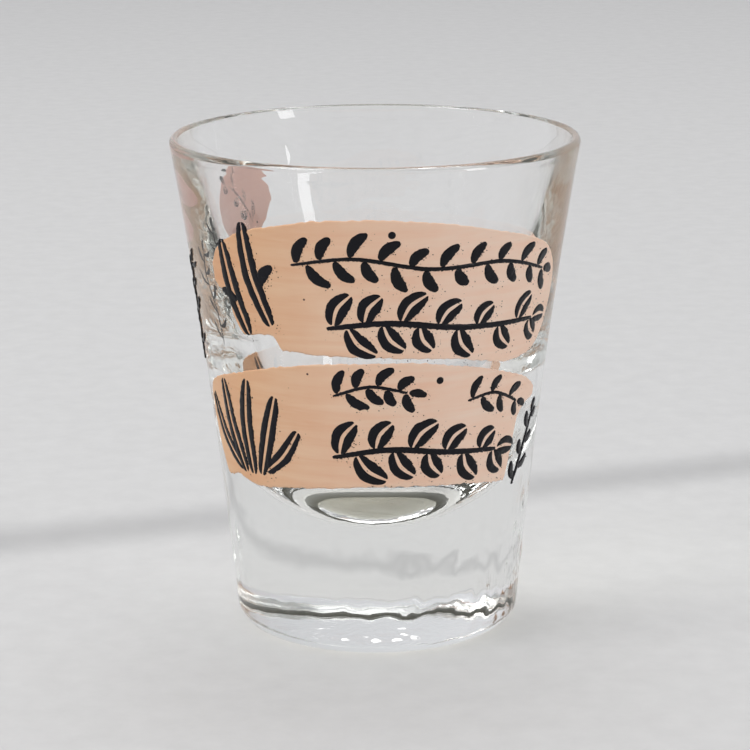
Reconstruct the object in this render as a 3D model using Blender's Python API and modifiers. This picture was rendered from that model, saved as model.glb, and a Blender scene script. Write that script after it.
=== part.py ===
"""Shot glass with fired enamel decoration.

A pressed soda-lime tumbler with a heavy base and a round bowl. Two brushed peach panels are
fired onto the front of its wall, with black brush marks over them: blades, leaves and berries.
A slim outlined sprig stands on the left side, and one pink patch and a few leaves are behind.

Metres, +Z up. The origin is the middle of the foot, on the surface that the glass stands on.
The glass is turned about Z, and the middle of the printed front faces -Y.
"""
import math

import bmesh
import bpy

MM = 0.001

# The glass
HEIGHT = 57.3 * MM
RIM_RADIUS = 23.52 * MM         # where the line of the outer wall would reach the full height
FOOT_RADIUS = 16.23 * MM        # where the same line would meet the ground
FLARE = 0.19                    # how much of the wall's spread comes late, near the rim
HEEL_ROUND = 2.35 * MM          # rounding between the outer wall and the foot
WALL_AT_RIM = 0.95 * MM         # thickness of the wall at the rim, where it is thinnest
LIP_WIDTH = 0.50 * MM           # how far the rounding of the lip reaches inwards
LIP_FALL = 0.70 * MM            # how far it reaches down the outside
LIP_POWER = 1.8                 # 2 rounds the lip as an ellipse, 1 bevels it straight
LIP_INNER = 0.35 * MM           # rounding between the top of the lip and the inside
BOWL_RADIUS = 14.2 * MM         # radius of the inside where the bowl's curve begins
BOWL_TOP = 30.5 * MM            # height at which the bowl's curve begins
BOWL_FLOOR = 13.3 * MM          # height of the bowl's lowest point
FOOT_RING_INSIDE = 11.2 * MM    # inner radius of the flat ring that the glass stands on
PUNT_DEPTH = 0.9 * MM           # hollow of the underside, at the middle
TURNS = 64

# The enamel
FILM_GAP = 0.05 * MM
PEACH_THICK = 0.10 * MM
BLACK_THICK = 0.12 * MM
PEACH_LIFT = FILM_GAP
BLACK_LIFT = PEACH_LIFT + PEACH_THICK + FILM_GAP
COLUMN_STEP = 3.0               # degrees between the columns of a panel
TIP_WIDTH = 0.12                # width left at the tip of a leaf, as a share of its widest

# Panels: (angle in degrees from the middle of the front, height in mm) along each edge
UPPER_TOP = [(-57, 44.8), (-54, 46.6), (-48, 48.2), (-41, 49.4), (-30, 50.4), (-15, 51.4), (0, 51.6),
             (18, 51.0), (37, 49.5), (52, 48.0), (61, 46.6), (67, 44.6), (70, 42.2)]
UPPER_BOTTOM = [(-57, 43.0), (-55, 42.2), (-51, 41.8), (-49, 39.2), (-45, 37.4), (-34, 37.8), (-30, 36.2),
                (0, 35.9), (24, 35.4), (48, 34.0), (58, 34.4), (66, 36.6), (70, 40.4)]
LOWER_TOP = [(-75, 28.6), (-72, 30.0), (-50, 32.6), (-32, 34.2), (-14, 35.1), (7, 35.3), (28, 34.4),
             (44, 33.0), (61, 30.9), (66, 29.6)]
LOWER_BOTTOM = [(-75, 26.4), (-72, 22.8), (-66, 19.4), (-57, 20.0), (-48, 19.4), (-25, 20.2), (0, 20.8),
                (30, 20.4), (51, 19.6), (56, 26.8), (61, 28.2), (66, 28.6)]
BACK_TOP = [(222, 45.0), (228, 47.6), (238, 48.4), (249, 47.6), (258, 45.6), (263, 43.4)]
BACK_BOTTOM = [(222, 43.2), (228, 40.8), (238, 39.8), (249, 40.0), (258, 41.0), (263, 42.4)]


def wall_radius(height):
    """Outer radius of the glass at a height."""
    share = height / HEIGHT
    spread = (1 - FLARE) * share + FLARE * share ** 3
    return FOOT_RADIUS + (RIM_RADIUS - FOOT_RADIUS) * spread


def on_wall(angle, height, lift):
    """A point over the outer wall: degrees from the front's middle, height, distance off it."""
    radius = wall_radius(height) + lift
    turn = math.radians(angle)
    return (radius * math.sin(turn), -radius * math.cos(turn), height)


def arc(centre_x, centre_z, width, depth, start, end, count):
    """Points on an ellipse from one angle to another, in degrees, both ends included."""
    points = []
    for step in range(count + 1):
        turn = math.radians(start + (end - start) * step / count)
        points.append((centre_x + width * math.cos(turn), centre_z + depth * math.sin(turn)))
    return points


def material(name, colour, roughness, transmission=0.0):
    made = bpy.data.materials.new(name)
    made.use_nodes = True
    shader = made.node_tree.nodes["Principled BSDF"]
    shader.inputs["Base Color"].default_value = (*colour, 1.0)
    shader.inputs["Roughness"].default_value = roughness
    shader.inputs["Metallic"].default_value = 0.0
    shader.inputs["Transmission Weight"].default_value = transmission
    return made


def inner_radius(height):
    """Radius of the inside above the bowl, which is a straight cone up to the rim."""
    top = wall_radius(HEIGHT) - WALL_AT_RIM
    return BOWL_RADIUS + (top - BOWL_RADIUS) * (height - BOWL_TOP) / (HEIGHT - BOWL_TOP)


def glass_profile():
    """Half section of the glass: up the inside from the bowl, over the lip, down the outside."""
    points = [(0.0, BOWL_FLOOR)]
    points += arc(0.0, BOWL_TOP, BOWL_RADIUS, BOWL_TOP - BOWL_FLOOR, -90, 0, 10)[1:]
    inner_height = HEIGHT - LIP_INNER
    for step in range(1, 4):
        height = BOWL_TOP + (inner_height - BOWL_TOP) * step / 4
        points.append((inner_radius(height), height))
    lip_height = HEIGHT - LIP_FALL
    crest = wall_radius(lip_height) - LIP_WIDTH
    points += arc(crest, inner_height, crest - inner_radius(inner_height), LIP_INNER, 180, 90, 3)
    for step in range(1, 7):
        turn = math.radians(90.0 * (1 - step / 6))
        out = LIP_WIDTH * math.cos(turn) ** (2 / LIP_POWER)
        up = LIP_FALL * math.sin(turn) ** (2 / LIP_POWER)
        points.append((crest + out, lip_height + up))
    for step in range(1, 9):
        height = lip_height + (HEEL_ROUND - lip_height) * step / 9
        points.append((wall_radius(height), height))
    heel = wall_radius(HEEL_ROUND) - HEEL_ROUND
    points += arc(heel, HEEL_ROUND, HEEL_ROUND, HEEL_ROUND, 0, -90, 5)
    points.append((FOOT_RING_INSIDE, 0.0))
    points.append((FOOT_RING_INSIDE * 0.86, PUNT_DEPTH * 0.55))
    points.append((FOOT_RING_INSIDE * 0.55, PUNT_DEPTH * 0.9))
    points.append((0.0, PUNT_DEPTH))
    return points


def turned(name, profile, finish, collection):
    """A solid of revolution about Z, from a half section with both ends on the axis."""
    mesh = bpy.data.meshes.new(name)
    body = bmesh.new()
    ring = [body.verts.new((x, 0.0, z)) for x, z in profile]
    for first, second in zip(ring, ring[1:]):
        body.edges.new((first, second))
    body.to_mesh(mesh)
    body.free()
    mesh.materials.append(finish)
    made = bpy.data.objects.new(name, mesh)
    collection.objects.link(made)
    screw = made.modifiers.new("turn", "SCREW")
    screw.steps = TURNS
    screw.render_steps = TURNS
    screw.use_merge_vertices = True
    screw.merge_threshold = 0.00001
    screw.use_smooth_shade = True
    return made


def film(name, columns, rows, place, thickness, finish, collection):
    """A thin fired film: a grid laid over the wall by place(u, v), then given its thickness."""
    mesh = bpy.data.meshes.new(name)
    body = bmesh.new()
    bmesh.ops.create_grid(body, x_segments=columns, y_segments=rows, size=0.5)
    for vert in body.verts:
        vert.co = place(vert.co.x + 0.5, vert.co.y + 0.5)
    bmesh.ops.recalc_face_normals(body, faces=body.faces)
    first = body.faces[0]
    middle = first.calc_center_median()
    if first.normal.x * middle.x + first.normal.y * middle.y < 0:
        bmesh.ops.reverse_faces(body, faces=body.faces)
    body.to_mesh(mesh)
    body.free()
    mesh.materials.append(finish)
    made = bpy.data.objects.new(name, mesh)
    collection.objects.link(made)
    shell = made.modifiers.new("film", "SOLIDIFY")
    shell.thickness = thickness
    shell.offset = 1.0
    shell.use_even_offset = False
    return made


def along(edge, angle):
    """Height in metres of a panel's edge at an angle, straight between its points."""
    for (left, low), (right, high) in zip(edge, edge[1:]):
        if angle <= right:
            share = (angle - left) / (right - left)
            return (low + (high - low) * share) * MM
    return edge[-1][1] * MM


def panel(name, top, bottom, finish, collection):
    """A brushed panel between two edges."""
    first, last = top[0][0], top[-1][0]
    columns = round((last - first) / COLUMN_STEP)

    def place(u, v):
        angle = first + (last - first) * u
        low = along(bottom, angle)
        high = along(top, angle)
        return on_wall(angle, low + (high - low) * v, PEACH_LIFT)

    return film(name, columns, 4, place, PEACH_THICK, finish, collection)


def smooth(points, share):
    """A point on the smooth curve through a few (angle, height) points, share from 0 to 1."""
    place = share * (len(points) - 1)
    index = min(int(place), len(points) - 2)
    t = place - index
    before = points[max(index - 1, 0)]
    start = points[index]
    end = points[index + 1]
    after = points[min(index + 2, len(points) - 1)]
    found = []
    for a, b, c, d in zip(before, start, end, after):
        found.append(0.5 * (2 * b + (c - a) * t + (2 * a - 5 * b + 4 * c - d) * t * t
                            + (3 * b - a - 3 * c + d) * t ** 3))
    return found


def stroke(name, points, width, finish, collection, shape="leaf", stations=8):
    """A brush mark along a curve. A leaf narrows to both ends, a blade keeps most of its width."""
    fullness = {"leaf": 0.75, "blade": 0.3, "stem": 0.3}[shape]

    def place(u, v):
        angle, height = smooth(points, u)
        near_angle, near_height = smooth(points, max(u - 0.02, 0.0))
        far_angle, far_height = smooth(points, min(u + 0.02, 1.0))
        per_degree = wall_radius(height * MM) / MM * math.pi / 180
        run = (far_angle - near_angle) * per_degree
        rise = far_height - near_height
        length = math.hypot(run, rise)
        half = width / 2 * (TIP_WIDTH + (1 - TIP_WIDTH) * math.sin(math.pi * u) ** fullness)
        side = (2 * v - 1) * half
        angle -= rise / length * side / per_degree
        height += run / length * side
        return on_wall(angle, height * MM, BLACK_LIFT)

    columns = max(1, round(width / 1.1))
    return film(name, stations, columns, place, BLACK_THICK, finish, collection)


def leaf(name, angle, height, length, lean, width, finish, collection):
    """A leaf dab with its middle at a place, leaning to the right of upright by some degrees."""
    per_degree = wall_radius(height * MM) / MM * math.pi / 180
    run = math.sin(math.radians(lean)) * length / 2
    rise = math.cos(math.radians(lean)) * length / 2
    bow = 0.12 * length / per_degree
    points = [(angle - run / per_degree, height - rise),
              (angle - bow, height),
              (angle + run / per_degree, height + rise)]
    return stroke(name, points, width, finish, collection)


def berry(name, angle, height, width, finish, collection):
    """A round dot: a square grid pressed into a disc."""
    per_degree = wall_radius(height * MM) / MM * math.pi / 180

    def place(u, v):
        x, y = 2 * u - 1, 2 * v - 1
        round_x = x * math.sqrt(1 - y * y / 2) * width / 2
        round_y = y * math.sqrt(1 - x * x / 2) * width / 2
        return on_wall(angle + round_x / per_degree, (height + round_y) * MM, BLACK_LIFT)

    return film(name, 4, 4, place, BLACK_THICK, finish, collection)


def leaf_row(prefix, count, start, end, length, width, finish, collection):
    """Leaves along a line between two (angle, height) places, leaning in turn to each side."""
    for index in range(count):
        share = index / (count - 1)
        angle = start[0] + (end[0] - start[0]) * share
        height = start[1] + (end[1] - start[1]) * share
        side = 1 if index % 2 else -1
        lean = 24 + 16 * side
        size = length * (1.0 if index % 3 else 0.82)
        leaf(f"{prefix}_{index + 1:02d}", angle, height + 0.5 * side, size, lean, width,
             finish, collection)


def main():
    for old in list(bpy.data.objects):
        bpy.data.objects.remove(old, do_unlink=True)
    glass_parts = bpy.data.collections.new("shot_glass")
    bpy.context.scene.collection.children.link(glass_parts)

    clear = material("clear_glass", (0.93, 0.96, 0.94), 0.03, 1.0)
    peach = material("peach_enamel", (0.72, 0.46, 0.32), 0.38)
    pink = material("pink_enamel", (0.80, 0.52, 0.45), 0.42)
    black = material("black_enamel", (0.012, 0.012, 0.018), 0.28)

    turned("glass_body", glass_profile(), clear, glass_parts)
    panel("upper_peach_panel", UPPER_TOP, UPPER_BOTTOM, peach, glass_parts)
    panel("lower_peach_panel", LOWER_TOP, LOWER_BOTTOM, peach, glass_parts)
    panel("back_pink_patch", BACK_TOP, BACK_BOTTOM, pink, glass_parts)

    # Two tall blades and their cross leaf, at the left of the upper panel
    stroke("tall_blade_outer", [(-50.5, 47.2), (-47.5, 43.0), (-42.5, 37.8)], 2.0, black, glass_parts,
           "blade")
    stroke("tall_blade_inner", [(-41.5, 50.1), (-39.5, 45.0), (-33.5, 39.2)], 1.9, black, glass_parts,
           "blade")
    leaf("tall_blade_bud", -33.2, 48.6, 3.4, -28, 1.7, black, glass_parts)
    leaf("tall_blade_cross_leaf", -31.0, 44.4, 3.0, 68, 1.3, black, glass_parts)

    # The slim spray along the top of the upper panel
    leaf_row("upper_spray_leaf", 11, (-23, 46.5), (63, 43.4), 4.8, 1.15, black, glass_parts)
    berry("upper_spray_berry", 4.5, 49.7, 1.2, black, glass_parts)

    # The bold branch below it: two broad arched leaves, then a row
    stroke("upper_bold_arch_high", [(-11, 40.0), (-5, 41.8), (4, 42.4), (13, 41.1)], 1.9, black,
           glass_parts, "leaf", 10)
    stroke("upper_bold_arch_low", [(-12, 37.0), (-4, 38.0), (6, 39.3), (16, 38.7)], 2.1, black,
           glass_parts, "leaf", 10)
    leaf_row("upper_bold_leaf", 5, (22, 39.8), (62, 37.6), 5.8, 1.9, black, glass_parts)

    # A fan of blades at the left of the lower panel
    stroke("fan_blade_1", [(-69, 29.4), (-68.5, 25.8), (-64.5, 21.4)], 1.8, black, glass_parts, "blade")
    stroke("fan_blade_2", [(-60.5, 30.2), (-60, 25.9), (-56, 20.9)], 1.8, black, glass_parts, "blade")
    stroke("fan_blade_3", [(-49, 31.0), (-50, 26.7), (-46, 21.8)], 1.7, black, glass_parts, "blade")
    stroke("fan_blade_4", [(-39.5, 30.2), (-39.5, 26.8), (-35.5, 23.2)], 1.7, black, glass_parts, "blade")
    stroke("fan_blade_5", [(-30.5, 27.9), (-31.5, 25.3), (-29.5, 23.1)], 1.5, black, glass_parts, "blade")

    # The slim spray along the top of the lower panel, in two groups
    leaf_row("lower_spray_leaf", 5, (-13, 32.4), (13, 32.0), 4.5, 1.15, black, glass_parts)
    leaf_row("lower_spray_tip", 4, (34, 30.6), (57, 29.6), 4.0, 1.05, black, glass_parts)
    berry("lower_spray_berry", 20.5, 33.0, 1.1, black, glass_parts)

    # The bold branch at the bottom, made the same way
    stroke("lower_bold_arch_high", [(-12, 24.9), (-5, 27.6), (5, 28.2), (14, 26.5)], 2.0, black,
           glass_parts, "leaf", 10)
    stroke("lower_bold_arch_low", [(-13, 21.9), (-5, 23.0), (6, 24.0), (16, 22.9)], 2.2, black,
           glass_parts, "leaf", 10)
    leaf_row("lower_bold_leaf", 4, (21, 24.3), (48, 23.4), 6.2, 2.0, black, glass_parts)
    stroke("edge_blade", [(69, 28.0), (66, 25.6), (59, 21.9)], 1.4, black, glass_parts, "blade")
    leaf("edge_leaf", 57.0, 19.2, 3.0, 62, 1.3, black, glass_parts)

    # The outlined sprig on the left side, and leaves on the back
    stroke("side_stem_left", [(-85, 45.2), (-81, 40.9), (-83, 36.5), (-87, 31.4)], 0.5, black,
           glass_parts, "stem", 12)
    stroke("side_stem_right", [(-69, 43.9), (-67, 40.4), (-71, 37.2), (-73, 32.0)], 0.5, black,
           glass_parts, "stem", 12)
    leaf("side_leaf_upper", -76, 42.3, 4.4, 32, 1.4, black, glass_parts)
    leaf("side_leaf_lower", -77, 36.0, 4.0, -26, 1.3, black, glass_parts)
    berry("side_berry", -75, 39.3, 1.3, black, glass_parts)
    leaf_row("back_leaf", 4, (229, 43.9), (256, 43.6), 4.6, 1.2, black, glass_parts)


main()
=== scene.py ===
# %% [markdown]
# # A printed shot glass, step by step
# The object is a pressed glass with enamel fired onto its wall. The CAD model gives its size and
# its plain solids. Here each solid gets the surface and the finish of the real thing. The frame
# is loaded first, and the glass body's box gives the height.

# %% Load the frame
import math
import random

import bmesh
import bpy
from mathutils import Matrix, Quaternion, Vector, noise


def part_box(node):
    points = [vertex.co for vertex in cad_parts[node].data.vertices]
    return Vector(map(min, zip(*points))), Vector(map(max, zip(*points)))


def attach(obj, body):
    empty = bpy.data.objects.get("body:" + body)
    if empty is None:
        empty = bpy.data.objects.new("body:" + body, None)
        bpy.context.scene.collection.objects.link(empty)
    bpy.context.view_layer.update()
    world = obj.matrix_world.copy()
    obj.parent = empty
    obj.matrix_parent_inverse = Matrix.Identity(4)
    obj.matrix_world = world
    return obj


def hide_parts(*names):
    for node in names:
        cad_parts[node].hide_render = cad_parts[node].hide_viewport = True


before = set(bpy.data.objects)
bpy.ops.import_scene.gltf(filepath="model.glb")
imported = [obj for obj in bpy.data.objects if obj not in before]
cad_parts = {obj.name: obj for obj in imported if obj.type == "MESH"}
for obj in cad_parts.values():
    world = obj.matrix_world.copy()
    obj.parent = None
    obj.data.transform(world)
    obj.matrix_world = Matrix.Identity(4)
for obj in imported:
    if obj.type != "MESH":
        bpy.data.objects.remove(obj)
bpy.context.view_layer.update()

# %% [markdown]
# ## The wall as a formula
# A turned glass is fully described by half of its section, and everything printed on it only
# needs to know where the outer wall is. So the wall is one small function of height. It starts
# nearly straight and flares a little more towards the rim, which the cubed term gives. The inside
# is a second function: a cone that opens to a thin rim, over a bowl that is half an ellipse. The
# height comes from the frame, and the other dimensions are the maker's.

# %% Driving dimensions
MM = 0.001
BODY = "root"
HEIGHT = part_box("glass_body")[1][2]
RIM_RADIUS = 23.52 * MM
FOOT_RADIUS = 16.23 * MM
FLARE = 0.19
HEEL_ROUND = 2.35 * MM
LIP_WIDTH = 0.50 * MM
LIP_FALL = 0.70 * MM
LIP_POWER = 1.8
LIP_INNER = 0.35 * MM
WALL_AT_RIM = 0.95 * MM
BOWL_RADIUS = 14.2 * MM
BOWL_TOP = 30.5 * MM
BOWL_FLOOR = 13.3 * MM
FOOT_RING_INSIDE = 11.2 * MM
PUNT_DEPTH = 0.9 * MM


def wall_radius(height):
    """Outer radius of the glass at a height."""
    share = height / HEIGHT
    spread = (1 - FLARE) * share + FLARE * share ** 3
    return FOOT_RADIUS + (RIM_RADIUS - FOOT_RADIUS) * spread


def per_degree(height):
    """Length along the wall of one degree of turn, at a height."""
    return wall_radius(height) * math.pi / 180


def inner_radius(height):
    """Radius of the cup, a cone above the bowl and an ellipse below."""
    if height < BOWL_TOP:
        drop = (BOWL_TOP - height) / (BOWL_TOP - BOWL_FLOOR)
        return BOWL_RADIUS * math.sqrt(max(0.0, 1 - drop * drop))
    top = wall_radius(HEIGHT) - WALL_AT_RIM
    return BOWL_RADIUS + (top - BOWL_RADIUS) * (height - BOWL_TOP) / (HEIGHT - BOWL_TOP)


print("glass", round(HEIGHT / MM, 1), "mm tall, rim", round(2 * wall_radius(HEIGHT) / MM, 1), "mm")

# %% [markdown]
# ## Ripple
# A pressed glass is never a perfect turning. The mould leaves slow waves and faint upright
# streaks, and they are what makes the reflections wander. They could be painted as bump, but real
# shape bends what is seen through the glass as well. The ripple is a function of place, so
# the enamel can ride on exactly the same waves.

# %% Ripple of the wall
WAVE = 0.030 * MM
WAVE_SIZE = 7.0 * MM
STREAK = 0.008 * MM
STREAK_WIDTH = 1.6 * MM
STREAK_LENGTH = 14.0 * MM


def ripple(angle, height):
    """How far the outer wall stands off its true radius, at degrees from the front's middle."""
    turn = math.radians(angle)
    x, y = math.sin(turn) * FOOT_RADIUS, -math.cos(turn) * FOOT_RADIUS
    slow = noise.noise(Vector((x, y, height)) / WAVE_SIZE)
    upright = noise.noise(Vector((x / STREAK_WIDTH, y / STREAK_WIDTH, height / STREAK_LENGTH)))
    return WAVE * slow + STREAK * upright


def on_wall(angle, height, lift):
    """A point over the outer wall: degrees from the front's middle, height, distance off it."""
    radius = wall_radius(height) + ripple(angle, height) + lift
    turn = math.radians(angle)
    return Vector((radius * math.sin(turn), -radius * math.cos(turn), height))


print("ripple at the front:", round(ripple(0, HEIGHT / 2) / MM, 4), "mm")

# %% [markdown]
# ## Helpers for pieces and materials
# Every piece ends the same way: its bmesh becomes a mesh, it gets its material, it rides on the
# CAD body, and the CAD nodes it stands for are hidden. One function does that. Node trees are
# easier to read when making a node and joining two sockets take one line each, so small helpers
# do that as well. A colour mix has sockets for numbers and vectors too, under the same names, so
# its colour sockets are picked by their places.

# %% Helpers
MIX_FACTOR = 0
MIX_FIRST = 6
MIX_SECOND = 7
MIX_RESULT = 2


def finished(name, body, material, nodes):
    """Makes a piece of a bmesh, gives it its material, and lets it stand for its CAD nodes."""
    for face in body.faces:
        face.smooth = True
    mesh = bpy.data.meshes.new(name)
    body.to_mesh(mesh)
    body.free()
    mesh.materials.append(material)
    piece = bpy.data.objects.new(name, mesh)
    bpy.context.scene.collection.objects.link(piece)
    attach(piece, BODY)
    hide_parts(*nodes)
    print(name, "-", len(mesh.polygons), "faces, stands for", len(nodes), "nodes")


def nodes_called(*starts):
    """The CAD nodes whose names start with any of these words."""
    return sorted(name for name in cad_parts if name.startswith(starts))


def add(tree, kind, **sockets):
    """Adds a shader node and sets its input values by name, with _ for a space."""
    made = tree.nodes.new(kind)
    for name, value in sockets.items():
        made.inputs[name.replace("_", " ")].default_value = value
    return made


def join(tree, start, out_name, end, in_name):
    """Joins two sockets, each given by its name or its place."""
    tree.links.new(start.outputs[out_name], end.inputs[in_name])


def maths(tree, operation):
    """Adds a node that works on single numbers."""
    made = tree.nodes.new("ShaderNodeMath")
    made.operation = operation
    return made


def blend(tree, kind="MIX"):
    """Adds a colour mix with its factor clamped."""
    made = tree.nodes.new("ShaderNodeMix")
    made.data_type = "RGBA"
    made.blend_type = kind
    return made


def new_group(name, inputs, outputs):
    """An empty shader group with its sockets: inputs as (name, value), outputs as names."""
    tree = bpy.data.node_groups.new(name, "ShaderNodeTree")
    for label, value in inputs:
        socket = tree.interface.new_socket(label, in_out="INPUT", socket_type="NodeSocketFloat")
        socket.default_value = value
    for label in outputs:
        tree.interface.new_socket(label, in_out="OUTPUT", socket_type="NodeSocketFloat")
    return tree, tree.nodes.new("NodeGroupInput"), tree.nodes.new("NodeGroupOutput")


def use_group(tree, group, **sockets):
    """Places a group in a material with its own values."""
    made = tree.nodes.new("ShaderNodeGroup")
    made.node_tree = group
    for name, value in sockets.items():
        made.inputs[name.replace("_", " ")].default_value = value
    return made


def new_material(name):
    """A new material, its node tree and the shader in it."""
    made = bpy.data.materials.new(name)
    made.use_nodes = True
    return made, made.node_tree, made.node_tree.nodes["Principled BSDF"]


# %% [markdown]
# ## The camera
# The glass is seen from a little above, close enough for the mouth to open into an ellipse. The
# long lens keeps the wall's sides nearly straight. The camera comes before the pieces, so that
# any of them can be looked at as soon as it is made.

# %% Camera
DISTANCE = 0.32
PITCH = math.radians(14.09)
ROLL = math.radians(-0.3)
AIM = Vector((-0.13 * MM, 0.0, HEIGHT / 2 + 0.32 * MM))
camera_data = bpy.data.cameras.new("camera")
camera_data.sensor_width = 36.0
camera_data.lens = 132.0
camera_data.clip_start = 0.05
camera_data.clip_end = 10.0
camera = bpy.data.objects.new("camera", camera_data)
bpy.context.scene.collection.objects.link(camera)
camera.location = AIM + Vector((0, -math.cos(PITCH), math.sin(PITCH))) * DISTANCE
look = (AIM - camera.location).to_track_quat("-Z", "Y")
camera.rotation_euler = (look @ Quaternion((0, 0, 1), ROLL)).to_euler()
bpy.context.scene.camera = camera
print("camera at", [round(v, 3) for v in camera.location])

# %% [markdown]
# ## Glass, as a material
# Clear glass needs a refractive index that bends what is behind it, a faint green tint that
# grows with thickness, and a surface that is not perfect. The tint is a volume, so the heavy base
# is greener than the wall. Lamps reach through real glass, but a ray tracer treats it as solid
# when it works out shadows, and the table under it would go black. So rays that ask about shadow
# see a clear shader instead. Upright mould streaks and a little orange peel are bump, strongest
# near the foot, and old handling leaves faint smudges in the roughness.

# %% Glass material
GLASS_INDEX = 1.52
TINT = (0.90, 0.925, 0.87, 1.0)
TINT_DENSITY = 8.0
SHADOW_TINT = (0.88, 0.885, 0.87, 1.0)


def glass_material():
    """Clear glass with mould streaks, smudges and a tint that grows with thickness."""
    made, tree, shader = new_material("clear_pressed_glass")
    shader.inputs["Base Color"].default_value = (1.0, 1.0, 1.0, 1.0)
    shader.inputs["IOR"].default_value = GLASS_INDEX
    shader.inputs["Transmission Weight"].default_value = 1.0

    place = tree.nodes.new("ShaderNodeTexCoord")
    upright = add(tree, "ShaderNodeMapping", Scale=(900.0, 900.0, 70.0))
    join(tree, place, "Object", upright, "Vector")
    streaks = add(tree, "ShaderNodeTexNoise", Scale=1.0, Detail=3.0, Distortion=0.6)
    join(tree, upright, "Vector", streaks, "Vector")
    peel = add(tree, "ShaderNodeTexNoise", Scale=420.0, Detail=2.0)
    join(tree, place, "Object", peel, "Vector")

    # The streaks are strong on the base, most on its right, and weak above it
    parts = tree.nodes.new("ShaderNodeSeparateXYZ")
    join(tree, place, "Object", parts, "Vector")
    base = add(tree, "ShaderNodeMapRange", From_Min=0.024, From_Max=0.010, To_Min=0.15, To_Max=1.0)
    join(tree, parts, "Z", base, "Value")
    right = add(tree, "ShaderNodeMapRange", From_Min=-0.010, From_Max=0.014, To_Min=0.6, To_Max=2.6)
    join(tree, parts, "X", right, "Value")
    worn = maths(tree, "MULTIPLY")
    join(tree, base, "Result", worn, 0)
    join(tree, right, "Result", worn, 1)
    strong = maths(tree, "MULTIPLY")
    join(tree, streaks, "Fac", strong, 0)
    join(tree, worn, "Value", strong, 1)
    height = maths(tree, "MULTIPLY_ADD")
    height.inputs[1].default_value = 0.35
    join(tree, peel, "Fac", height, 0)
    join(tree, strong, "Value", height, 2)
    bump = add(tree, "ShaderNodeBump", Strength=0.35, Distance=0.03 * MM)
    join(tree, height, "Value", bump, "Height")
    join(tree, bump, "Normal", shader, "Normal")

    smudge = add(tree, "ShaderNodeTexNoise", Scale=130.0, Detail=4.0, Roughness=0.7)
    join(tree, place, "Object", smudge, "Vector")
    rough = add(tree, "ShaderNodeMapRange", From_Min=0.5, From_Max=0.75, To_Min=0.0, To_Max=0.07)
    join(tree, smudge, "Fac", rough, "Value")
    join(tree, rough, "Result", shader, "Roughness")

    clear = add(tree, "ShaderNodeBsdfTransparent", Color=SHADOW_TINT)
    path = tree.nodes.new("ShaderNodeLightPath")
    mix = tree.nodes.new("ShaderNodeMixShader")
    out = tree.nodes["Material Output"]
    join(tree, path, "Is Shadow Ray", mix, 0)
    join(tree, shader, "BSDF", mix, 1)
    join(tree, clear, "BSDF", mix, 2)
    join(tree, mix, "Shader", out, "Surface")
    tint = add(tree, "ShaderNodeVolumeAbsorption", Color=TINT, Density=TINT_DENSITY)
    join(tree, tint, "Volume", out, "Volume")
    return made


GLASS = glass_material()
print("glass index", GLASS_INDEX)

# %% [markdown]
# ## The glass body
# The half section goes up the inside, over the lip and down the outside. The bowl is half an
# ellipse and the cup above it is a cone. The lip is small and fire-polished: a short arc inside
# and a taller curve outside, a little sharper than an ellipse. The heel is an arc, and the
# underside is slightly hollow so that the glass stands on a ring. Spinning that section gives a
# closed solid in one step. The ripple then moves the outer wall, and the bowl gets slower, deeper
# waves of its own, because the plunger that presses it wears. The base is rougher than the wall,
# as if lightly hammered, most on its right, and so is the hollow under it.

# %% Glass body
SPIN_STEPS = 256
BOWL_STEPS = 46
WALL_STEPS = 26
OUTSIDE_STEPS = 60
LIP_INNER_STEPS = 10
LIP_STEPS = 24
HEEL_STEPS = 16
PUNT_STEPS = 16
BOWL_WAVE = 0.05 * MM
BOWL_WAVE_SIZE = 6.0 * MM
HAMMER = 0.20 * MM
HAMMER_SIZE = 1.5 * MM
HAMMER_TOP = 17.0 * MM
HAMMER_REACH = 8.0 * MM
HAMMER_MIDDLE = 0.55
HAMMER_SWING = 0.45
HAMMER_STRETCH = 0.6
HAMMER_FINE = 0.4


def arc(centre_x, centre_z, width, depth, start, end, count):
    """Points on an ellipse from one angle to another, in degrees, both ends included."""
    points = []
    for step in range(count + 1):
        turn = math.radians(start + (end - start) * step / count)
        points.append((centre_x + width * math.cos(turn), centre_z + depth * math.sin(turn)))
    return points


def glass_profile():
    """Half section of the glass, as (radius, height), with both ends on the axis."""
    points = []
    for step in range(BOWL_STEPS):
        turn = math.radians(90.0 * (1 - step / BOWL_STEPS))
        height = BOWL_TOP - (BOWL_TOP - BOWL_FLOOR) * math.sin(turn)
        points.append((BOWL_RADIUS * math.cos(turn), height))
    points[0] = (0.0, BOWL_FLOOR)
    lip_height = HEIGHT - LIP_FALL
    inner_height = HEIGHT - LIP_INNER
    for step in range(WALL_STEPS):
        height = BOWL_TOP + (inner_height - BOWL_TOP) * step / WALL_STEPS
        points.append((inner_radius(height), height))
    crest = wall_radius(lip_height) - LIP_WIDTH
    inner_width = crest - inner_radius(inner_height)
    points += arc(crest, inner_height, inner_width, LIP_INNER, 180, 90, LIP_INNER_STEPS)
    for step in range(1, LIP_STEPS + 1):
        turn = math.radians(90.0 * (1 - step / LIP_STEPS))
        out = LIP_WIDTH * math.cos(turn) ** (2 / LIP_POWER)
        up = LIP_FALL * math.sin(turn) ** (2 / LIP_POWER)
        points.append((crest + out, lip_height + up))
    for step in range(1, OUTSIDE_STEPS):
        height = lip_height + (HEEL_ROUND - lip_height) * step / OUTSIDE_STEPS
        points.append((wall_radius(height), height))
    heel = wall_radius(HEEL_ROUND) - HEEL_ROUND
    points += arc(heel, HEEL_ROUND, HEEL_ROUND, HEEL_ROUND, 0, -90, HEEL_STEPS)
    for step in range(PUNT_STEPS):
        share = step / PUNT_STEPS
        points.append((FOOT_RING_INSIDE * (1 - share), PUNT_DEPTH * math.sin(share * math.pi / 2)))
    points.append((0.0, PUNT_DEPTH))
    return points


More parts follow.
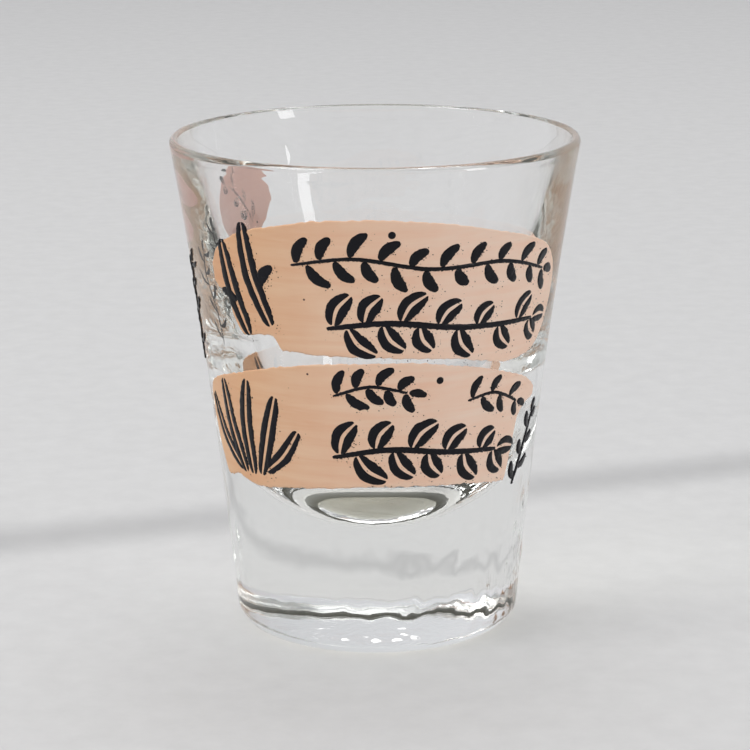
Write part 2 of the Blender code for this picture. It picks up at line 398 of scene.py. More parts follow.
def hammered(place):
    """Extra unevenness of the outside below the bowl, stronger on the right."""
    low = min(max((HAMMER_TOP - place.z) / HAMMER_TOP, 0.0), 1.0)
    right = HAMMER_MIDDLE + HAMMER_SWING * math.tanh(place.x / HAMMER_REACH)
    fade = min(1.0, place.z / HEEL_ROUND)
    squeezed = Vector((place.x, place.y, place.z * HAMMER_STRETCH)) / HAMMER_SIZE
    rough = noise.noise(squeezed) + HAMMER_FINE * noise.noise(squeezed * 3)
    return HAMMER * rough * right * low ** 0.5 * fade


def glass_body():
    """The spun section, then waves on the wall and in the bowl, and dents in the base."""
    body = bmesh.new()
    ring = [body.verts.new((x, 0.0, z)) for x, z in glass_profile()]
    edges = [body.edges.new(pair) for pair in zip(ring, ring[1:])]
    bmesh.ops.spin(body, geom=ring + edges, cent=(0, 0, 0), axis=(0, 0, 1), dvec=(0, 0, 0),
                   angle=math.tau, steps=SPIN_STEPS, use_merge=True, use_duplicate=False)
    bmesh.ops.remove_doubles(body, verts=body.verts, dist=1e-6)
    bmesh.ops.recalc_face_normals(body, faces=body.faces)
    for vert in body.verts:
        radius = math.hypot(vert.co.x, vert.co.y)
        if radius < 1e-5:
            continue
        outside = radius > (wall_radius(vert.co.z) + inner_radius(vert.co.z)) / 2
        if outside:
            angle = math.degrees(math.atan2(vert.co.x, -vert.co.y))
            push = ripple(angle, vert.co.z) + hammered(vert.co)
        elif vert.co.z < BOWL_FLOOR / 2:
            dent = HAMMER * abs(noise.noise(vert.co / HAMMER_SIZE))
            vert.co.z += dent * min(1.0, vert.co.z / PUNT_DEPTH)
            continue
        else:
            push = BOWL_WAVE * noise.noise(vert.co / BOWL_WAVE_SIZE)
        vert.co.x *= 1 + push / radius
        vert.co.y *= 1 + push / radius
    finished("clear_glass", body, GLASS, ["glass_body"])


glass_body()

# %% [markdown]
# ## Shared enamel effects
# Three effects turn up in more than one enamel, so each is a node group that is built once and
# then placed with its own values. Fired enamel is lumpy, because glass powder melts without
# quite levelling. A squeegee or a brush leaves long streaks round the wall. And dust in the kiln
# leaves dark specks. Each group only puts out masks and heights, and the shader stays outside.

# %% Enamel groups


def enamel_surface_group():
    """Lumps for bump, a slow mottle, and a roughness that varies between two values."""
    tree, ins, outs = new_group("enamel_surface",
                                [("Lump Scale", 2500.0), ("Rough Low", 0.3), ("Rough High", 0.5)],
                                ["Height", "Mottle", "Roughness"])
    place = tree.nodes.new("ShaderNodeTexCoord")
    lumps = add(tree, "ShaderNodeTexNoise", Detail=3.0, Roughness=0.55)
    join(tree, place, "Object", lumps, "Vector")
    join(tree, ins, "Lump Scale", lumps, "Scale")
    mottle = add(tree, "ShaderNodeTexNoise", Scale=110.0, Detail=3.0, Roughness=0.6)
    join(tree, place, "Object", mottle, "Vector")
    rough = add(tree, "ShaderNodeMapRange", From_Min=0.35, From_Max=0.65)
    join(tree, mottle, "Fac", rough, "Value")
    join(tree, ins, "Rough Low", rough, "To Min")
    join(tree, ins, "Rough High", rough, "To Max")
    join(tree, lumps, "Fac", outs, "Height")
    join(tree, mottle, "Fac", outs, "Mottle")
    join(tree, rough, "Result", outs, "Roughness")
    return tree


def streak_group():
    """Long soft streaks that run round the wall."""
    tree, ins, outs = new_group("squeegee_streaks", [("Contrast", 1.0)], ["Streaks"])
    place = tree.nodes.new("ShaderNodeTexCoord")
    drawn = add(tree, "ShaderNodeMapping", Scale=(70.0, 70.0, 900.0))
    join(tree, place, "Object", drawn, "Vector")
    lines = add(tree, "ShaderNodeTexNoise", Scale=1.0, Detail=4.0, Roughness=0.6, Distortion=0.4)
    join(tree, drawn, "Vector", lines, "Vector")
    centred = maths(tree, "SUBTRACT")
    centred.inputs[1].default_value = 0.5
    join(tree, lines, "Fac", centred, 0)
    scaled = maths(tree, "MULTIPLY_ADD")
    scaled.inputs[2].default_value = 0.5
    scaled.use_clamp = True
    join(tree, centred, "Value", scaled, 0)
    join(tree, ins, "Contrast", scaled, 1)
    join(tree, scaled, "Value", outs, "Streaks")
    return tree


def speck_group():
    """A mask of sparse round specks."""
    tree, ins, outs = new_group("kiln_specks", [("Speck Scale", 900.0), ("Speck Size", 0.16)],
                                ["Specks"])
    place = tree.nodes.new("ShaderNodeTexCoord")
    cells = tree.nodes.new("ShaderNodeTexVoronoi")
    join(tree, place, "Object", cells, "Vector")
    join(tree, ins, "Speck Scale", cells, "Scale")
    dots = maths(tree, "LESS_THAN")
    join(tree, cells, "Distance", dots, 0)
    join(tree, ins, "Speck Size", dots, 1)
    pick = tree.nodes.new("ShaderNodeSeparateColor")
    join(tree, cells, "Color", pick, "Color")
    few = maths(tree, "GREATER_THAN")
    few.inputs[1].default_value = 0.72
    join(tree, pick, "Red", few, 0)
    both = maths(tree, "MULTIPLY")
    join(tree, dots, "Value", both, 0)
    join(tree, few, "Value", both, 1)
    join(tree, both, "Value", outs, "Specks")
    return tree


ENAMEL_SURFACE = enamel_surface_group()
STREAKS = streak_group()
SPECKS = speck_group()
print("groups:", ENAMEL_SURFACE.name, STREAKS.name, SPECKS.name)

# %% [markdown]
# ## Peach and pink enamel
# The panels are a thin, satin enamel. Its colour isn't even: it is fuller and more orange where
# the coat is thick, at the left, and paler and pinker to the right, and that paler right is partly
# painted light, standing in for the brighter light on that side. A ramp across the glass mixes
# the two colours, the streaks shift it a little, and specks darken single points.

# %% Panel materials


def panel_material(name, full, pale_and_lit, low, high):
    """Satin enamel that fades from a full colour at one x to a pale one at another."""
    made, tree, shader = new_material(name)
    surface = use_group(tree, ENAMEL_SURFACE, Lump_Scale=1500.0, Rough_Low=0.34, Rough_High=0.5)
    streaks = use_group(tree, STREAKS, Contrast=1.6)
    specks = use_group(tree, SPECKS, Speck_Scale=420.0, Speck_Size=0.055)

    place = tree.nodes.new("ShaderNodeTexCoord")
    parts = tree.nodes.new("ShaderNodeSeparateXYZ")
    join(tree, place, "Object", parts, "Vector")
    # Partly painted light: the ramp to the pale colour at the right stands in for the brighter light
    # there as well as the enamel's own change of tone.
    across = add(tree, "ShaderNodeMapRange", From_Min=low, From_Max=high)
    join(tree, parts, "X", across, "Value")
    fade = blend(tree)
    fade.inputs[MIX_FIRST].default_value = (*full, 1.0)
    fade.inputs[MIX_SECOND].default_value = (*pale_and_lit, 1.0)
    join(tree, across, "Result", fade, MIX_FACTOR)

    streaked = blend(tree, "SOFT_LIGHT")
    streaked.inputs[MIX_FACTOR].default_value = 0.30
    join(tree, fade, MIX_RESULT, streaked, MIX_FIRST)
    join(tree, streaks, "Streaks", streaked, MIX_SECOND)
    mottled = blend(tree, "SOFT_LIGHT")
    mottled.inputs[MIX_FACTOR].default_value = 0.35
    join(tree, streaked, MIX_RESULT, mottled, MIX_FIRST)
    join(tree, surface, "Mottle", mottled, MIX_SECOND)
    dirty = blend(tree)
    dirty.inputs[MIX_SECOND].default_value = (0.10, 0.04, 0.03, 1.0)
    join(tree, specks, "Specks", dirty, MIX_FACTOR)
    join(tree, mottled, MIX_RESULT, dirty, MIX_FIRST)
    join(tree, dirty, MIX_RESULT, shader, "Base Color")

    join(tree, surface, "Roughness", shader, "Roughness")
    bump = add(tree, "ShaderNodeBump", Strength=0.25, Distance=0.03 * MM)
    join(tree, surface, "Height", bump, "Height")
    join(tree, bump, "Normal", shader, "Normal")
    return made


PEACH = panel_material("peach_enamel", (0.79, 0.45, 0.245), (0.98, 0.70, 0.54), -0.015, 0.009)
PINK = panel_material("pink_enamel", (0.80, 0.50, 0.42), (0.84, 0.60, 0.54), -0.017, 0.014)
print("panel finishes:", PEACH.name, PINK.name)

# %% [markdown]
# ## Black enamel
# The brush marks are a thick black enamel that stands up from the wall. It is half glossy,
# faintly blue where it is thick, and lumpy enough to catch small glints. Gloss needs no light
# painted in: a low roughness and a strong bump let the lamps do it. The specular level is turned
# down, so that the black stays black in so pale a room.

# %% Black material


def black_material():
    """Thick enamel with a lumpy, part glossy surface."""
    made, tree, shader = new_material("black_enamel")
    surface = use_group(tree, ENAMEL_SURFACE, Lump_Scale=3200.0, Rough_Low=0.16, Rough_High=0.38)
    ink = blend(tree)
    ink.inputs[MIX_FIRST].default_value = (0.002, 0.002, 0.002, 1.0)
    ink.inputs[MIX_SECOND].default_value = (0.003, 0.003, 0.010, 1.0)
    join(tree, surface, "Mottle", ink, MIX_FACTOR)
    join(tree, ink, MIX_RESULT, shader, "Base Color")
    join(tree, surface, "Roughness", shader, "Roughness")
    shader.inputs["Specular IOR Level"].default_value = 0.22
    bump = add(tree, "ShaderNodeBump", Strength=0.8, Distance=0.05 * MM)
    join(tree, surface, "Height", bump, "Height")
    join(tree, bump, "Normal", shader, "Normal")
    return made


BLACK = black_material()
print("black finish:", BLACK.name)

# %% [markdown]
# ## Laying a film on the wall
# Each printed shape is a thin closed film. It starts as a flat grid, a place function wraps
# that grid over the wall, and extruding the whole grid gives the underside, which is sunk just
# into the glass so that no gap shows from inside. The rows crowd towards the edges, where
# the film rolls down to the wall and needs the detail.

# %% Films
SINK = 0.02 * MM


def crowd(share):
    """Moves evenly spaced shares towards both ends."""
    return share - 0.6 * math.sin(math.tau * share) / math.tau


def lay_film(body, columns, rows, place):
    """Adds one closed film: a grid laid by place(u, v), extruded down into the glass."""
    grid = bmesh.ops.create_grid(body, x_segments=columns, y_segments=rows, size=0.5)["verts"]
    for vert in grid:
        vert.co = place(crowd(vert.co.x + 0.5), crowd(vert.co.y + 0.5))
    faces = list({face for vert in grid for face in vert.link_faces})
    under = bmesh.ops.extrude_face_region(body, geom=faces)["geom"]
    for vert in under:
        if isinstance(vert, bmesh.types.BMVert):
            angle = math.degrees(math.atan2(vert.co.x, -vert.co.y))
            vert.co = on_wall(angle, vert.co.z, -SINK)


def along(edge, angle):
    """Height of a panel's edge at an angle, on a smooth curve through its points."""
    slopes = [(b[1] - a[1]) / (b[0] - a[0]) for a, b in zip(edge, edge[1:])]
    index = 0
    while index < len(slopes) - 1 and angle > edge[index + 1][0]:
        index += 1
    (left, low), (right, high) = edge[index], edge[index + 1]
    width = right - left
    share = min(max((angle - left) / width, 0.0), 1.0)

    def slope_at(corner):
        if corner == 0 or corner == len(slopes):
            return slopes[min(corner, len(slopes) - 1)]
        before, after = slopes[corner - 1], slopes[corner]
        if before * after <= 0:
            return 0.0
        return 2 * before * after / (before + after)

    leave, arrive = slope_at(index) * width, slope_at(index + 1) * width
    rest = 1 - share
    return (low * (1 + 2 * share) * rest ** 2 + high * (3 - 2 * share) * share ** 2
            + leave * share * rest ** 2 - arrive * share ** 2 * rest) * MM


print("crowded shares:", [round(crowd(step / 4), 3) for step in range(5)])

# %% [markdown]
# ## The panels
# Two broad panels are brushed on the front, one above the other with a clear line between them,
# and a smaller pink one is behind. Their long edges are nearly straight, and their ends are
# stepped, because each is a few strokes of a wide brush. Only the corners that make that shape
# are given, and noise does the small raggedness of a real edge.

# %% Panels
UPPER_TOP = [(-57, 44.8), (-54, 46.6), (-48, 48.2), (-41, 49.4), (-30, 50.4), (-15, 51.4), (0, 51.6),
             (18, 51.0), (37, 49.5), (52, 48.0), (61, 46.6), (67, 44.6), (70, 42.2)]
UPPER_BOTTOM = [(-57, 43.0), (-55, 42.2), (-51, 41.8), (-49, 39.2), (-45, 37.4), (-34, 37.8), (-30, 36.2),
                (0, 35.9), (24, 35.4), (48, 34.0), (58, 34.4), (66, 36.6), (70, 40.4)]
LOWER_TOP = [(-75, 28.6), (-72, 30.0), (-50, 32.6), (-32, 34.2), (-14, 35.1), (7, 35.3), (28, 34.4),
             (44, 33.0), (61, 30.9), (66, 29.6)]
LOWER_BOTTOM = [(-75, 26.4), (-72, 22.8), (-66, 19.4), (-57, 20.0), (-48, 19.4), (-25, 20.2), (0, 20.8),
                (30, 20.4), (51, 19.6), (56, 26.8), (61, 28.2), (66, 28.6)]
BACK_TOP = [(222, 45.0), (228, 47.6), (238, 48.4), (249, 47.6), (258, 45.6), (263, 43.4)]
BACK_BOTTOM = [(222, 43.2), (228, 40.8), (238, 39.8), (249, 40.0), (258, 41.0), (263, 42.4)]
PANEL_LIFT = 0.07 * MM
PANEL_ROLL = 0.25 * MM
COLUMN_STEP = 0.3
PANEL_ROWS = 44
WAVER = 0.55
FRAY = 2.3


def ragged(angle, seed, coarse, fine):
    """Small in and out of a printed edge."""
    slow = noise.noise(Vector((angle * WAVER, seed, 0.3)))
    quick = noise.noise(Vector((angle * FRAY, seed, 7.7)))
    return coarse * slow + fine * quick


def panel(name, top, bottom, material, node, seed):
    """A piece that fills the wall between two edges, rolled down at its rim."""
    first, last = top[0][0], top[-1][0]

    def place(u, v):
        angle = first + (last - first) * u
        low = along(bottom, angle) + ragged(angle, seed, 0.16 * MM, 0.06 * MM)
        high = along(top, angle) + ragged(angle, seed + 5, 0.12 * MM, 0.05 * MM)
        height = low + (high - low) * v
        inwards = min(v, 1 - v) * (high - low)
        from_end = min(u, 1 - u) * (last - first) * per_degree(height)
        roll = min(1.0, min(inwards, from_end) / PANEL_ROLL)
        lift = -SINK / 2 + (PANEL_LIFT + SINK / 2) * math.sqrt(roll * (2 - roll))
        return on_wall(angle, height, lift)

    body = bmesh.new()
    lay_film(body, round((last - first) / COLUMN_STEP), PANEL_ROWS, place)
    bmesh.ops.recalc_face_normals(body, faces=body.faces)
    finished(name, body, material, [node])


panel("upper_panel", UPPER_TOP, UPPER_BOTTOM, PEACH, "upper_peach_panel", 1.0)
panel("lower_panel", LOWER_TOP, LOWER_BOTTOM, PEACH, "lower_peach_panel", 2.0)
panel("back_patch", BACK_TOP, BACK_BOTTOM, PINK, "back_pink_patch", 3.0)

# %% [markdown]
# ## One brush mark
# A mark is a film along a smooth curve. Its width swells from the tip, holds, and dies away: a
# leaf narrows early and a blade keeps its width. A broad leaf is printed as two halves with a bare
# line left between them for its midrib. Each film is crowned, its surface is uneven, and its edge
# is torn by two sizes of noise, more on the lower right, where the print has dragged. The curve
# passes through three to five places, given as degrees and millimetres. Widths and the sizes of
# the noise are in millimetres too.

# %% Brush marks
CROWN = 0.13 * MM
MARK_BASE = 0.06 * MM
TIP = 0.12
MESH_SIZE = 0.11
FULLNESS = {"leaf": 0.75, "blade": 0.45, "stem": 0.25}
MIDRIB = 0.13
TORN = 0.14
SWAY = 0.10
SWAY_SIZE = 0.9
TEAR_SIZE = 0.20
LUMP_SIZE = 0.5
NEARBY = 0.02
LENGTH_STEPS = 24
BERRY_STEPS = 10


def smooth(points, share):
    """A place on the smooth curve through a few (angle, height) points, share from 0 to 1."""
    place = min(max(share, 0.0), 1.0) * (len(points) - 1)
    index = min(int(place), len(points) - 2)
    t = place - index
    before = points[max(index - 1, 0)]
    start = points[index]
    end = points[index + 1]
    after = points[min(index + 2, len(points) - 1)]
    found = []
    for a, b, c, d in zip(before, start, end, after):
        found.append(0.5 * (2 * b + (c - a) * t + (2 * a - 5 * b + 4 * c - d) * t * t
                            + (3 * b - a - 3 * c + d) * t ** 3))
    return found


def course(points, share):
    """Angle, height, and the direction in millimetres of a curve, at a share of its length."""
    angle, height = smooth(points, share)
    near = smooth(points, share - NEARBY)
    far = smooth(points, share + NEARBY)
    run = (far[0] - near[0]) * per_degree(height * MM) / MM
    rise = far[1] - near[1]
    length = math.hypot(run, rise)
    return angle, height, run / length, rise / length


def curve_length(points):
    """Length in millimetres of a curve on the wall."""
    total = 0.0
    for step in range(LENGTH_STEPS):
        start = smooth(points, step / LENGTH_STEPS)
        end = smooth(points, (step + 1) / LENGTH_STEPS)
        run = (end[0] - start[0]) * per_degree(start[1] * MM) / MM
        total += math.hypot(run, end[1] - start[1])
    return total


def brush_mark(body, points, width, shape="leaf", seed=0.0, strip=(-1.0, 1.0)):
    """Adds one raised mark along a curve to a bmesh, or a lengthwise strip of it."""
    length = curve_length(points)
    fullness = FULLNESS[shape]

    def place(u, v):
        angle, height, run, rise = course(points, u)
        travelled = u * length
        swell = TIP + (1 - TIP) * math.sin(math.pi * min(max(u, 0.0), 1.0)) ** fullness
        side = strip[0] + (strip[1] - strip[0]) * v
        torn = TORN if side * (rise + run * 0.4) > 0 else 0.35 * TORN
        coarse = noise.noise(Vector((travelled / SWAY_SIZE, seed, side)))
        fine = noise.noise(Vector((travelled / TEAR_SIZE, seed + 3, side)))
        half = width / 2 * swell * (1 + SWAY * coarse) + torn * fine * min(1.0, 2 * swell)
        offset = side * half
        angle += rise * offset / (per_degree(height * MM) / MM)
        height -= run * offset
        dome = math.sqrt(max(0.0, 1 - (2 * v - 1) ** 4)) * min(1.0, swell * 1.6)
        lump = noise.noise(Vector((travelled / LUMP_SIZE, offset / LUMP_SIZE, seed + 9)))
        lift = -SINK / 2 + (MARK_BASE + CROWN * (0.75 + 0.35 * lump)) * dome
        return on_wall(angle, height * MM, lift)

    stations = max(10, round(length / MESH_SIZE))
    across = max(6, round(width * (strip[1] - strip[0]) / 2 / MESH_SIZE))
    lay_film(body, stations, across, place)


def veined_leaf(body, points, width, shape, seed):
    """Adds a broad leaf in two halves, with its midrib left bare between them."""
    brush_mark(body, points, width, shape, seed, (-1.0, -MIDRIB))
    brush_mark(body, points, width, shape, seed + 0.6, (MIDRIB, 1.0))


def leaf_course(angle, height, length, heading, bow):
    """The curve of a leaf that springs from a place, heading in degrees from the right, upwards."""
    scale = per_degree(height * MM) / MM
    points = []
    for reach, turn in ((0.05, heading), (0.52, heading + bow), (1.0, heading)):
        run = reach * length * math.cos(math.radians(turn))
        rise = reach * length * math.sin(math.radians(turn))
        points.append((angle + run / scale, height + rise))
    return points


def berry(body, angle, height, width):
    """Adds a domed dot to a bmesh."""
    scale = per_degree(height * MM) / MM

    def place(u, v):
        x, y = 2 * u - 1, 2 * v - 1
        round_x = x * math.sqrt(1 - y * y / 2)
        round_y = y * math.sqrt(1 - x * x / 2)
        reach = min(1.0, math.hypot(round_x, round_y))
        lift = -SINK / 2 + (MARK_BASE + CROWN) * math.sqrt(max(0.0, 1 - reach ** 3))
        return on_wall(angle + round_x * width / 2 / scale, (height + round_y * width / 2) * MM, lift)

    lay_film(body, BERRY_STEPS, BERRY_STEPS, place)


print("a 5 mm leaf is", round(curve_length(leaf_course(0, 40, 5, 60, 12)), 2), "mm along its curve")

# %% [markdown]
# ## Spatter
# Round every mark the print has thrown tiny dots of enamel, most of them to the lower right. Each
# is a little ball of twenty faces, half sunk in the panel's film, at a place that a seeded
# generator draws, so every run gives the same dots. Many land close to the mark, and some are
# thrown further.

# %% Spatter
DOT_SIZES = (0.03, 0.035, 0.04, 0.05, 0.075)
DOT_LIFT = 0.06 * MM
THROWS = (0.08, 0.35)
DRIFT = -40.0
DRIFT_SPREAD = 55.0


def spatter(body, curves, each, seed):
    """Adds dots of enamel round some curves, drifting to the lower right."""
    draw = random.Random(seed)
    for points, width in curves:
        for _ in range(each):
            angle, height, run, rise = course(points, draw.uniform(0.02, 0.98))
            scale = per_degree(height * MM) / MM
            far = width * 0.5 + abs(draw.gauss(0.0, draw.choice(THROWS)))
            turn = math.radians(draw.gauss(DRIFT, DRIFT_SPREAD))
            angle += far * math.cos(turn) / scale
            height += far * math.sin(turn)
            size = draw.choice(DOT_SIZES) * MM
            ball = bmesh.ops.create_icosphere(body, subdivisions=1, radius=size)["verts"]
            bmesh.ops.translate(body, verts=ball, vec=on_wall(angle, height * MM, DOT_LIFT))


print("dots are", DOT_SIZES[0], "to", DOT_SIZES[-1], "mm in radius")

# %% [markdown]
# ## Growing a branch
# A branch is one piece: its stem, its leaves, a berry at most, and its spatter. Leaves spring from
# both sides of the stem in turn and get a little smaller towards its tip, and any mark above a
# certain width gets a midrib. The spatter goes in first, while the piece is still small, because
# each little ball takes longer to add to a large one.

# %% Branches
VEINED_FROM = 1.8
LEAF_BOW = 14.0
TIP_BOW = 8.0


def branch(name, marks, berries, nodes, each, seed):
    """A piece made of several marks, berries and their spatter."""
    body = bmesh.new()
    spatter(body, [(points, width) for points, width, shape in marks], each, round(seed * 10))
    for index, (points, width, shape) in enumerate(marks):
        if width >= VEINED_FROM:
            veined_leaf(body, points, width, shape, seed + index * 1.7)
        else:
            brush_mark(body, points, width, shape, seed + index * 1.7)
    for angle, height, width in berries:
        berry(body, angle, height, width)
    bmesh.ops.recalc_face_normals(body, faces=body.faces)
    finished(name, body, BLACK, nodes)


def sprig(stem, stem_width, pairs, length, width, opening=52.0):
    """A stem, leaves springing from it on both sides in turn, and a leaf at its tip."""
    marks = [(stem, stem_width, "stem")]
    for index in range(2 * pairs):
        share = (index + 0.6) / (2 * pairs)
        side = -1 if index % 2 else 1
        angle, height, run, rise = course(stem, share)
        heading = math.degrees(math.atan2(rise, run)) + side * opening
        size = length * (1.0 - 0.30 * share + 0.10 * math.sin(index * 2.1))
        marks.append((leaf_course(angle, height, size, heading, side * LEAF_BOW), width, "leaf"))
    angle, height, run, rise = course(stem, 1.0)
    heading = math.degrees(math.atan2(rise, run))
    marks.append((leaf_course(angle, height, length * 0.7, heading, TIP_BOW), width * 0.85, "leaf"))
    return marks


print("leaves", VEINED_FROM, "mm wide or more have a midrib")

# %% [markdown]
# ## The printed branches
# The decoration is a set of plain brush plants: two tall leaves at the left of the upper panel, a
# slim spray over a bold branch in each panel, a fan of blades at the lower left, a sprig at each
# side, and one more behind. Each branch is one piece and stands for its own CAD marks, which are
# plain dabs in the same places. Places are degrees round the wall and millimetres up it.

# %% Upper branches
branch("tall_blades",
       [([(-42.5, 37.4), (-48.0, 42.4), (-50.5, 48.0)], 2.5, "blade"),
        ([(-33.5, 38.8), (-39.5, 44.4), (-41.0, 50.4)], 2.5, "blade"),
        (leaf_course(-37.0, 43.0, 3.6, 52, 12), 1.5, "leaf"),
        (leaf_course(-46.0, 41.0, 3.0, 160, -12), 1.2, "leaf")],
       [], nodes_called("tall_blade"), 60, 10.0)
branch("upper_spray",
       sprig([(-25, 46.2), (-6, 47.2), (16, 45.9), (40, 45.9), (60, 43.9)], 0.55, 10, 3.6, 1.4),
       [(4.5, 49.9, 0.9)], nodes_called("upper_spray"), 16, 20.0)
branch("upper_bold_branch",
       sprig([(-15, 39.2), (4, 39.9), (28, 38.9), (57, 38.4)], 0.8, 6, 4.5, 2.5, 52.0),
       [], nodes_called("upper_bold"), 34, 30.0)

# %% Lower branches
branch("blade_fan",
       [([(-54.0, 20.9), (-65.0, 24.4), (-71.5, 28.8)], 1.9, "blade"),
        ([(-52.0, 20.6), (-58.5, 26.0), (-61.0, 31.2)], 2.2, "blade"),
        ([(-48.0, 20.6), (-49.5, 26.6), (-47.0, 32.0)], 2.3, "blade"),
        ([(-44.0, 20.8), (-39.5, 25.8), (-35.0, 30.6)], 2.2, "blade"),
        ([(-41.5, 21.4), (-33.5, 23.6), (-27.0, 26.8)], 1.9, "blade")],
       [], nodes_called("fan_blade"), 40, 40.0)
branch("lower_spray",
       sprig([(-14, 31.4), (-2, 32.6), (10, 31.8)], 0.45, 4, 3.2, 1.25)
       + sprig([(31, 30.2), (42, 30.6), (54, 28.8)], 0.45, 3, 3.0, 1.15),
       [(20.5, 33.0, 0.9)], nodes_called("lower_spray"), 16, 50.0)
branch("lower_bold_branch",
       sprig([(-15, 24.2), (4, 25.2), (24, 24.5), (45, 23.8)], 0.8, 5, 4.6, 2.6, 52.0),
       [], nodes_called("lower_bold"), 34, 60.0)

# %% Side and back branches
branch("edge_sprig",
       sprig([(57, 18.6), (62, 22.4), (67, 26.4)], 0.45, 3, 2.6, 1.0, 40.0),
       [], nodes_called("edge"), 6, 70.0)
branch("side_sprig",
       sprig([(-84, 31.6), (-80, 36.0), (-80, 40.4), (-76, 43.6)], 0.3, 4, 2.8, 0.5, 42.0),
       [(-75, 39.3, 0.7)], nodes_called("side"), 2, 80.0)
branch("back_leaves",
       sprig([(235, 41.2), (240, 44.0), (248, 46.8)], 0.4, 3, 2.5, 1.0),
       [], nodes_called("back_leaf"), 5, 90.0)

# %% [markdown]
# ## The stage
# The glass stands on a plain pale floor. Clear glass shows its surroundings more than itself, so
# they decide how it reads. A soft dark stripe behind the glass is painted crease shade, which shows
# through the base as a curved band, and a painted shadow darkens the floor where the foot keeps the light
# off it.

# %% Floor
FLOOR_RADIUS = 1.5
CREASE_PLACE = (0.0, 0.045, 0.0)
CREASE_TURN = math.radians(18.8)
CREASE_WIDTH = 0.010
CREASE_SHADE = 0.34
UNDER_FOOT_INNER = 0.011
UNDER_FOOT_OUTER = 0.015
SHEET_DARK = (0.60, 0.595, 0.585, 1.0)
SHEET_PALE = (0.70, 0.695, 0.685, 1.0)
# Colours of the painted crease shade and of the painted shadow under the foot.
CREASE_SHADOW_COLOUR = (0.22, 0.22, 0.225, 1.0)
FOOT_SHADOW_COLOUR = (0.34, 0.33, 0.28, 1.0)


def floor_material():
    """A pale mottled sheet with a painted crease shade and a painted shadow under the foot."""
    made, tree, shader = new_material("floor_sheet")
    place = tree.nodes.new("ShaderNodeTexCoord")
    mottle = add(tree, "ShaderNodeTexNoise", Scale=260.0, Detail=4.0, Roughness=0.6)
    join(tree, place, "Object", mottle, "Vector")
    tone = blend(tree)
    tone.inputs[MIX_FIRST].default_value = SHEET_DARK
    tone.inputs[MIX_SECOND].default_value = SHEET_PALE
    join(tree, mottle, "Fac", tone, MIX_FACTOR)
    across = add(tree, "ShaderNodeMapping", Location=CREASE_PLACE, Rotation=(0.0, 0.0, CREASE_TURN))
    across.vector_type = "TEXTURE"
    join(tree, place, "Object", across, "Vector")
    sides = tree.nodes.new("ShaderNodeSeparateXYZ")
    join(tree, across, "Vector", sides, "Vector")
    # Painted shade: a soft dark stripe along a line behind the glass, where a crease would be shaded.
    depth = add(tree, "ShaderNodeMapRange", From_Max=CREASE_WIDTH, To_Min=CREASE_SHADE, To_Max=0.0)
    depth.interpolation_type = "SMOOTHSTEP"
    away = maths(tree, "ABSOLUTE")
    join(tree, sides, "Y", away, 0)
    join(tree, away, "Value", depth, "Value")
    crease_shadow = blend(tree)
    join(tree, tone, MIX_RESULT, crease_shadow, MIX_FIRST)
    crease_shadow.inputs[MIX_SECOND].default_value = CREASE_SHADOW_COLOUR
    join(tree, depth, "Result", crease_shadow, MIX_FACTOR)
    reach = tree.nodes.new("ShaderNodeVectorMath")
    reach.operation = "LENGTH"
    join(tree, place, "Object", reach, "Vector")
    # Painted shadow: the floor goes darker under the foot, in place of the shadow the glass casts there.
    under = add(tree, "ShaderNodeMapRange", From_Min=UNDER_FOOT_INNER, From_Max=UNDER_FOOT_OUTER,
                To_Min=1.0, To_Max=0.0)
    under.interpolation_type = "SMOOTHSTEP"
    join(tree, reach, "Value", under, "Value")
    foot_shadow = blend(tree)
    join(tree, crease_shadow, MIX_RESULT, foot_shadow, MIX_FIRST)
    foot_shadow.inputs[MIX_SECOND].default_value = FOOT_SHADOW_COLOUR
    join(tree, under, "Result", foot_shadow, MIX_FACTOR)
    join(tree, foot_shadow, MIX_RESULT, shader, "Base Color")
    shader.inputs["Roughness"].default_value = 0.85
    return made


floor_body = bmesh.new()
bmesh.ops.create_circle(floor_body, cap_ends=True, segments=128, radius=FLOOR_RADIUS)
floor_mesh = bpy.data.meshes.new("floor")
floor_body.to_mesh(floor_mesh)
floor_body.free()
floor_mesh.materials.append(floor_material())
floor = bpy.data.objects.new("floor", floor_mesh)
bpy.context.scene.collection.objects.link(floor)
print("floor", 2 * FLOOR_RADIUS, "m across")

# %% [markdown]
# ## Light
# A broad soft window stands at the left, a narrow strip at the right front and a soft lamp hangs
# overhead. The world is brighter at the left than at the right, which draws the thin dark edges,
# and brightest behind, where the glass is looked through.

# %% Light
AIMED_AT = (0, 0, 0.03)
WORLD_LEFT = 0.54
WORLD_RIGHT = 0.36
WORLD_BEHIND = 0.26
WORLD_COLOUR = (0.95, 0.96, 1.0, 1.0)


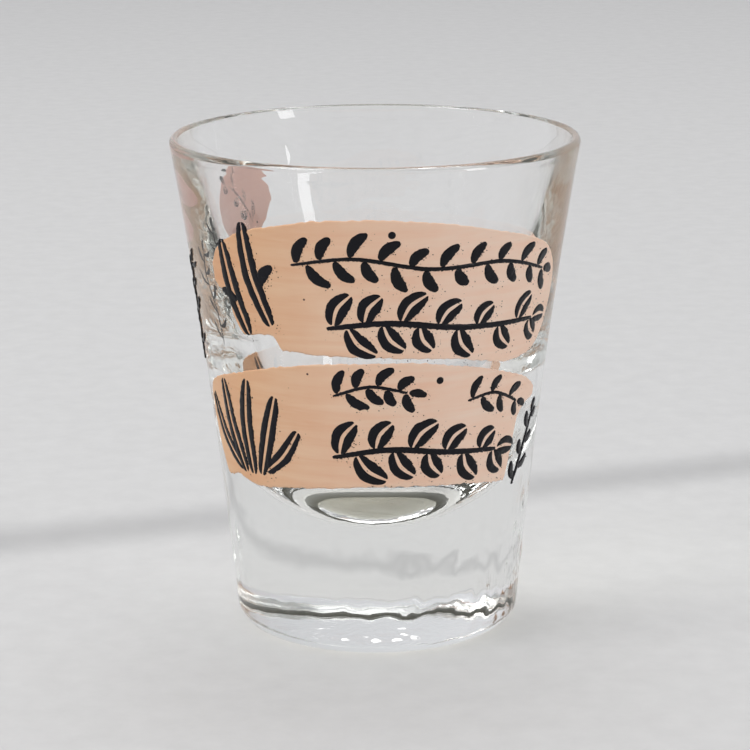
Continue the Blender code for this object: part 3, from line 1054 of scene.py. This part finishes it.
def softbox(name, place, size, power):
    """A rectangular lamp that faces the glass, with its sides in metres."""
    lamp = bpy.data.lights.new(name, "AREA")
    lamp.shape = "RECTANGLE"
    lamp.size, lamp.size_y = size
    lamp.energy = power
    holder = bpy.data.objects.new(name, lamp)
    bpy.context.scene.collection.objects.link(holder)
    holder.location = place
    facing = (Vector(AIMED_AT) - Vector(place)).to_track_quat("-Z", "Y")
    holder.rotation_euler = facing.to_euler()


def studio_world():
    """A world whose brightness depends on the direction it is seen in."""
    world = bpy.data.worlds.new("studio")
    bpy.context.scene.world = world
    world.use_nodes = True
    tree = world.node_tree
    sky = tree.nodes["Background"]
    direction = tree.nodes.new("ShaderNodeTexCoord")
    sides = tree.nodes.new("ShaderNodeSeparateXYZ")
    join(tree, direction, "Generated", sides, "Vector")
    level = add(tree, "ShaderNodeMapRange", From_Min=-0.8, From_Max=0.8,
                To_Min=WORLD_LEFT, To_Max=WORLD_RIGHT)
    join(tree, sides, "X", level, "Value")
    behind = add(tree, "ShaderNodeMapRange", From_Min=0.0, From_Max=0.6,
                 To_Min=0.0, To_Max=WORLD_BEHIND)
    join(tree, sides, "Y", behind, "Value")
    total = maths(tree, "ADD")
    join(tree, level, "Result", total, 0)
    join(tree, behind, "Result", total, 1)
    join(tree, total, "Value", sky, "Strength")
    sky.inputs["Color"].default_value = WORLD_COLOUR


softbox("window", (-0.68, -0.40, 0.92), (0.5, 0.5), 5.0)
softbox("front_strip", (0.63, -0.41, 0.165), (0.15, 0.34), 0.9)
softbox("overhead", (0.1, 0.25, 1.0), (0.9, 0.9), 3.4)
studio_world()

# %% [markdown]
# ## How far light is followed
# Light can run a long way inside a lip or a heavy base, bouncing from wall to wall before it gets
# out. A ray tracer that gives up after a few bounces leaves black patches there that no real
# glass has, so both kinds of bounce are allowed to go on for longer. The plain view transform
# keeps the pale surroundings and the warm enamel at their own colours.

# %% Light paths and view
BOUNCES = 32
paths = bpy.context.scene.cycles
paths.max_bounces = BOUNCES
paths.glossy_bounces = BOUNCES
paths.transmission_bounces = BOUNCES
bpy.context.scene.view_settings.view_transform = "Standard"
bpy.context.scene.view_settings.look = "None"
print("bounces:", BOUNCES)
